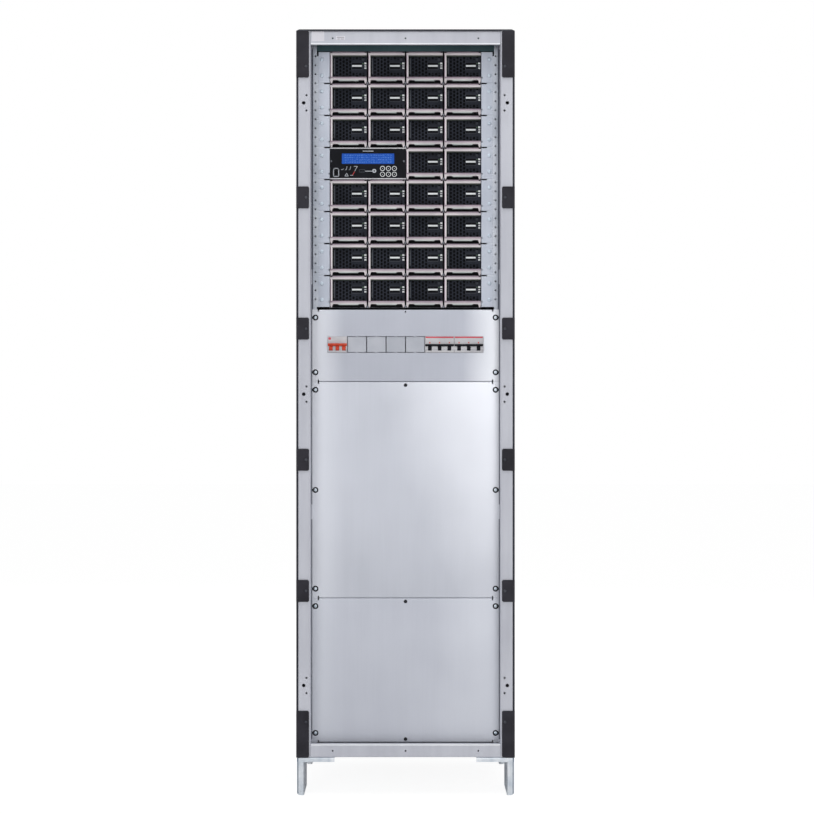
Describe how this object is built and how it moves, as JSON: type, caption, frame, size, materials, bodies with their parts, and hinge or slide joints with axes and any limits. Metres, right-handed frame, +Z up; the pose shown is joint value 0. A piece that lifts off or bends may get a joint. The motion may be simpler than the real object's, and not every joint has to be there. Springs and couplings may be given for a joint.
{
  "type": "dc power system",
  "caption": "Free-standing dc power cabinet on feet, with shelves of plug-in rectifier modules, a controller with a display, a row of breakers and blank panels.",
  "frame": {"origin": "on the floor, below the middle of the cabinet", "axes": "+X to the right across the front, +Y from the front to the rear, +Z up"},
  "size_m": [0.6, 0.6, 2.105],
  "materials": {
    "frame_paint": "light grey powder coat, slightly worn",
    "panel_paint": "light grey powder coat with faint streaks",
    "dark_paint": "dark grey fine-textured coat",
    "clip_plastic": "dark grey moulded plastic",
    "plated_steel": "bright zinc-plated sheet",
    "zinc_steel": "blue-passivated zinc plating",
    "screw_steel": "blue-passivated zinc plating",
    "board": "dark green laminate",
    "copper": "bare copper bar",
    "cover_plastic": "grey moulded plastic",
    "housing_plastic": "grey-beige moulded plastic",
    "red_plastic": "red moulded plastic",
    "black_plastic": "black moulded plastic",
    "display_blue": "blue backlit display window",
    "module_case": "satin metal case with a pale mauve face"
  },
  "bodies": {
    "cabinet": {"frame_uprights": "frame_paint", "frame_crossbars": "frame_paint", "frame_depth_bars": "frame_paint", "rack_rails": "plated_steel", "side_panels": "dark_paint", "side_panel_clips": "clip_plastic", "roof_panel": "dark_paint", "rear_panel": "frame_paint", "base_plate": "plated_steel", "feet": "zinc_steel", "rectifier_shelves": "plated_steel", "backplanes": "board", "dc_busbars": "copper", "breaker_panel": "panel_paint", "middle_panel": "panel_paint", "lower_panel": "panel_paint", "panel_screws": "screw_steel", "shelf_screws": "screw_steel", "clip_screws": "screw_steel", "blank_covers": "cover_plastic", "main_switch": "housing_plastic", "left_breaker": "housing_plastic", "right_breaker": "housing_plastic", "din_rail": "zinc_steel", "din_rail_brackets": "zinc_steel", "controller_housing": "black_plastic", "controller_display": "display_blue"},
    "rectifier_r1c1": {"rectifier_r1c1": "module_case"},
    "rectifier_r1c2": {"rectifier_r1c2": "module_case"},
    "rectifier_r1c3": {"rectifier_r1c3": "module_case"},
    "rectifier_r1c4": {"rectifier_r1c4": "module_case"},
    "rectifier_r2c1": {"rectifier_r2c1": "module_case"},
    "rectifier_r2c2": {"rectifier_r2c2": "module_case"},
    "rectifier_r2c3": {"rectifier_r2c3": "module_case"},
    "rectifier_r2c4": {"rectifier_r2c4": "module_case"},
    "rectifier_r3c1": {"rectifier_r3c1": "module_case"},
    "rectifier_r3c2": {"rectifier_r3c2": "module_case"},
    "rectifier_r3c3": {"rectifier_r3c3": "module_case"},
    "rectifier_r3c4": {"rectifier_r3c4": "module_case"},
    "rectifier_r4c3": {"rectifier_r4c3": "module_case"},
    "rectifier_r4c4": {"rectifier_r4c4": "module_case"},
    "rectifier_r5c1": {"rectifier_r5c1": "module_case"},
    "rectifier_r5c2": {"rectifier_r5c2": "module_case"},
    "rectifier_r5c3": {"rectifier_r5c3": "module_case"},
    "rectifier_r5c4": {"rectifier_r5c4": "module_case"},
    "rectifier_r6c1": {"rectifier_r6c1": "module_case"},
    "rectifier_r6c2": {"rectifier_r6c2": "module_case"},
    "rectifier_r6c3": {"rectifier_r6c3": "module_case"},
    "rectifier_r6c4": {"rectifier_r6c4": "module_case"},
    "rectifier_r7c1": {"rectifier_r7c1": "module_case"},
    "rectifier_r7c2": {"rectifier_r7c2": "module_case"},
    "rectifier_r7c3": {"rectifier_r7c3": "module_case"},
    "rectifier_r7c4": {"rectifier_r7c4": "module_case"},
    "rectifier_r8c1": {"rectifier_r8c1": "module_case"},
    "rectifier_r8c2": {"rectifier_r8c2": "module_case"},
    "rectifier_r8c3": {"rectifier_r8c3": "module_case"},
    "rectifier_r8c4": {"rectifier_r8c4": "module_case"},
    "main_switch_lever": {"main_switch_lever": "red_plastic"},
    "left_breaker_lever": {"left_breaker_lever": "black_plastic"},
    "right_breaker_lever": {"right_breaker_lever": "black_plastic"}
  },
  "joints": [
    {"name": "rectifier_r1c1_slide", "type": "slide", "parent": "cabinet", "child": "rectifier_r1c1", "axis": [0, -1, 0], "range_m": [0, 0.28]},
    {"name": "rectifier_r1c2_slide", "type": "slide", "parent": "cabinet", "child": "rectifier_r1c2", "axis": [0, -1, 0], "range_m": [0, 0.28]},
    {"name": "rectifier_r1c3_slide", "type": "slide", "parent": "cabinet", "child": "rectifier_r1c3", "axis": [0, -1, 0], "range_m": [0, 0.28]},
    {"name": "rectifier_r1c4_slide", "type": "slide", "parent": "cabinet", "child": "rectifier_r1c4", "axis": [0, -1, 0], "range_m": [0, 0.28]},
    {"name": "rectifier_r2c1_slide", "type": "slide", "parent": "cabinet", "child": "rectifier_r2c1", "axis": [0, -1, 0], "range_m": [0, 0.28]},
    {"name": "rectifier_r2c2_slide", "type": "slide", "parent": "cabinet", "child": "rectifier_r2c2", "axis": [0, -1, 0], "range_m": [0, 0.28]},
    {"name": "rectifier_r2c3_slide", "type": "slide", "parent": "cabinet", "child": "rectifier_r2c3", "axis": [0, -1, 0], "range_m": [0, 0.28]},
    {"name": "rectifier_r2c4_slide", "type": "slide", "parent": "cabinet", "child": "rectifier_r2c4", "axis": [0, -1, 0], "range_m": [0, 0.28]},
    {"name": "rectifier_r3c1_slide", "type": "slide", "parent": "cabinet", "child": "rectifier_r3c1", "axis": [0, -1, 0], "range_m": [0, 0.28]},
    {"name": "rectifier_r3c2_slide", "type": "slide", "parent": "cabinet", "child": "rectifier_r3c2", "axis": [0, -1, 0], "range_m": [0, 0.28]},
    {"name": "rectifier_r3c3_slide", "type": "slide", "parent": "cabinet", "child": "rectifier_r3c3", "axis": [0, -1, 0], "range_m": [0, 0.28]},
    {"name": "rectifier_r3c4_slide", "type": "slide", "parent": "cabinet", "child": "rectifier_r3c4", "axis": [0, -1, 0], "range_m": [0, 0.28]},
    {"name": "rectifier_r4c3_slide", "type": "slide", "parent": "cabinet", "child": "rectifier_r4c3", "axis": [0, -1, 0], "range_m": [0, 0.28]},
    {"name": "rectifier_r4c4_slide", "type": "slide", "parent": "cabinet", "child": "rectifier_r4c4", "axis": [0, -1, 0], "range_m": [0, 0.28]},
    {"name": "rectifier_r5c1_slide", "type": "slide", "parent": "cabinet", "child": "rectifier_r5c1", "axis": [0, -1, 0], "range_m": [0, 0.28]},
    {"name": "rectifier_r5c2_slide", "type": "slide", "parent": "cabinet", "child": "rectifier_r5c2", "axis": [0, -1, 0], "range_m": [0, 0.28]},
    {"name": "rectifier_r5c3_slide", "type": "slide", "parent": "cabinet", "child": "rectifier_r5c3", "axis": [0, -1, 0], "range_m": [0, 0.28]},
    {"name": "rectifier_r5c4_slide", "type": "slide", "parent": "cabinet", "child": "rectifier_r5c4", "axis": [0, -1, 0], "range_m": [0, 0.28]},
    {"name": "rectifier_r6c1_slide", "type": "slide", "parent": "cabinet", "child": "rectifier_r6c1", "axis": [0, -1, 0], "range_m": [0, 0.28]},
    {"name": "rectifier_r6c2_slide", "type": "slide", "parent": "cabinet", "child": "rectifier_r6c2", "axis": [0, -1, 0], "range_m": [0, 0.28]},
    {"name": "rectifier_r6c3_slide", "type": "slide", "parent": "cabinet", "child": "rectifier_r6c3", "axis": [0, -1, 0], "range_m": [0, 0.28]},
    {"name": "rectifier_r6c4_slide", "type": "slide", "parent": "cabinet", "child": "rectifier_r6c4", "axis": [0, -1, 0], "range_m": [0, 0.28]},
    {"name": "rectifier_r7c1_slide", "type": "slide", "parent": "cabinet", "child": "rectifier_r7c1", "axis": [0, -1, 0], "range_m": [0, 0.28]},
    {"name": "rectifier_r7c2_slide", "type": "slide", "parent": "cabinet", "child": "rectifier_r7c2", "axis": [0, -1, 0], "range_m": [0, 0.28]},
    {"name": "rectifier_r7c3_slide", "type": "slide", "parent": "cabinet", "child": "rectifier_r7c3", "axis": [0, -1, 0], "range_m": [0, 0.28]},
    {"name": "rectifier_r7c4_slide", "type": "slide", "parent": "cabinet", "child": "rectifier_r7c4", "axis": [0, -1, 0], "range_m": [0, 0.28]},
    {"name": "rectifier_r8c1_slide", "type": "slide", "parent": "cabinet", "child": "rectifier_r8c1", "axis": [0, -1, 0], "range_m": [0, 0.28]},
    {"name": "rectifier_r8c2_slide", "type": "slide", "parent": "cabinet", "child": "rectifier_r8c2", "axis": [0, -1, 0], "range_m": [0, 0.28]},
    {"name": "rectifier_r8c3_slide", "type": "slide", "parent": "cabinet", "child": "rectifier_r8c3", "axis": [0, -1, 0], "range_m": [0, 0.28]},
    {"name": "rectifier_r8c4_slide", "type": "slide", "parent": "cabinet", "child": "rectifier_r8c4", "axis": [0, -1, 0], "range_m": [0, 0.28]},
    {"name": "main_switch_lever_pivot", "type": "hinge", "parent": "cabinet", "child": "main_switch_lever", "pos_m": [-0.189, -0.2405, 1.231], "axis": [1, 0, 0], "range_deg": [0, 84]},
    {"name": "left_breaker_lever_pivot", "type": "hinge", "parent": "cabinet", "child": "left_breaker_lever", "pos_m": [0.0945, -0.2405, 1.231], "axis": [1, 0, 0], "range_deg": [0, 84]},
    {"name": "right_breaker_lever_pivot", "type": "hinge", "parent": "cabinet", "child": "right_breaker_lever", "pos_m": [0.1755, -0.2405, 1.231], "axis": [1, 0, 0], "range_deg": [0, 84]}
  ]
}
